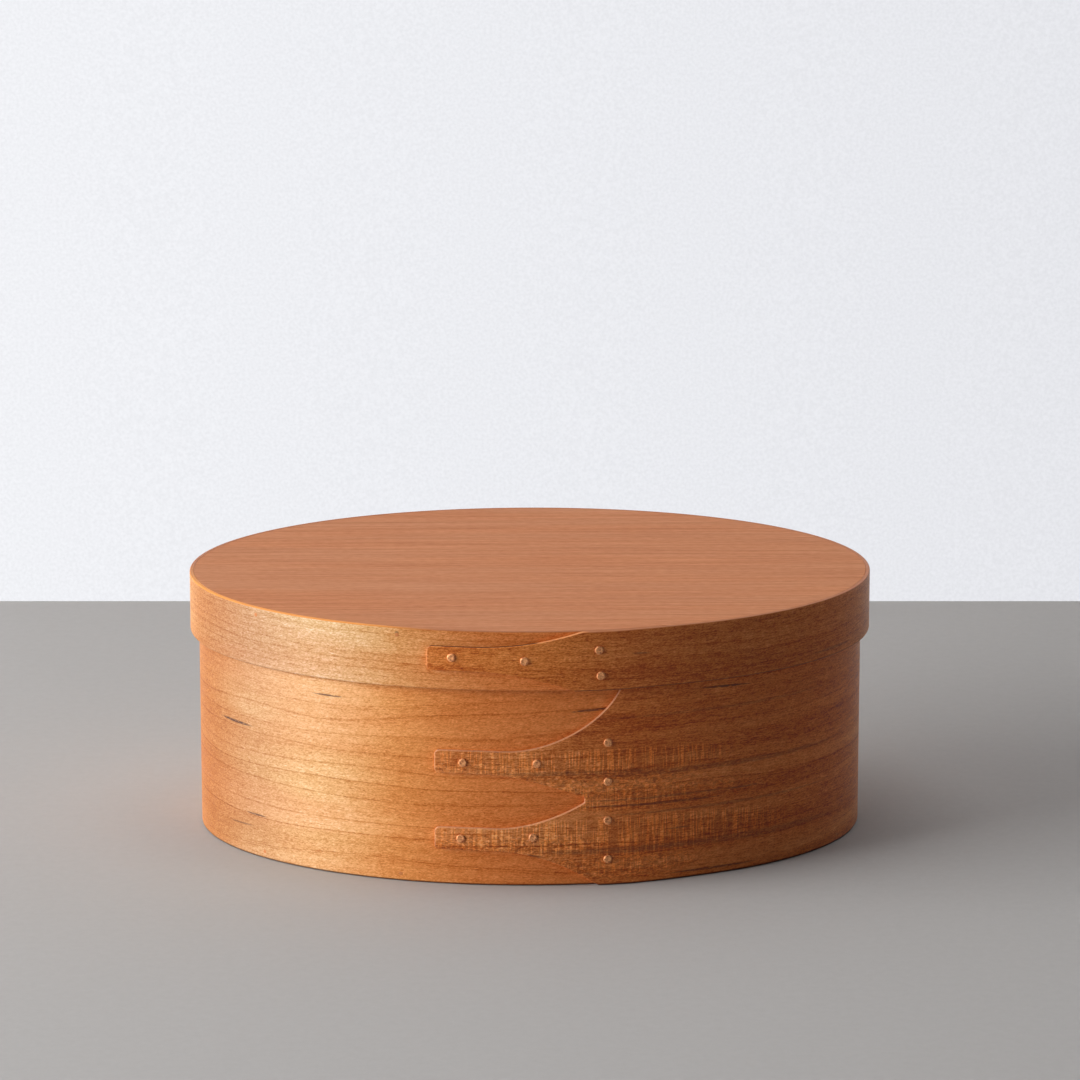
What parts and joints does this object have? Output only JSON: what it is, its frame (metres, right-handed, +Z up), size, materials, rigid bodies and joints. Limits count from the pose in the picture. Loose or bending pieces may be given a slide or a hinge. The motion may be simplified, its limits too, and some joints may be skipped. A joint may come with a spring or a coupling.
{
  "type": "oval bentwood box",
  "caption": "Oval bentwood box with a lift-off lid, each thin wooden band lapped over itself at the front in swallowtail fingers and fastened with clinched copper tacks.",
  "frame": {"origin": "middle of the oval on the plane the box stands on; the lap and tack heads at the front put the middle of the bounding box 0.9 mm in front of it", "axes": "+X along the oval's length to the right, +Y to the back away from the lapped fingers, +Z up"},
  "size_m": [0.2166, 0.1495, 0.083],
  "materials": {
    "cherry_band": "satin oiled cherry, long grain round the band",
    "cherry_lid_band": "satin oiled cherry, long grain round the band",
    "cherry_board": "satin oiled cherry, fine straight grain along the length",
    "cherry_bottom": "satin oiled cherry, fine straight grain along the length",
    "peg_wood": "end grain, flush",
    "copper": "dull copper, lightly hammered"
  },
  "bodies": {
    "box": {"box_band": "cherry_band", "box_bottom": "cherry_bottom", "box_upper_finger_tacks": "copper", "box_lower_finger_tacks": "copper", "box_seam_tacks": "copper", "box_pegs": "peg_wood"},
    "lid": {"lid_band": "cherry_lid_band", "lid_board": "cherry_board", "lid_finger_tacks": "copper", "lid_seam_tacks": "copper", "lid_pegs": "peg_wood"}
  },
  "joints": [
    {"name": "lid_lift", "type": "slide", "parent": "box", "child": "lid", "axis": [0, 0, 1], "range_m": [0, 0.1]}
  ]
}
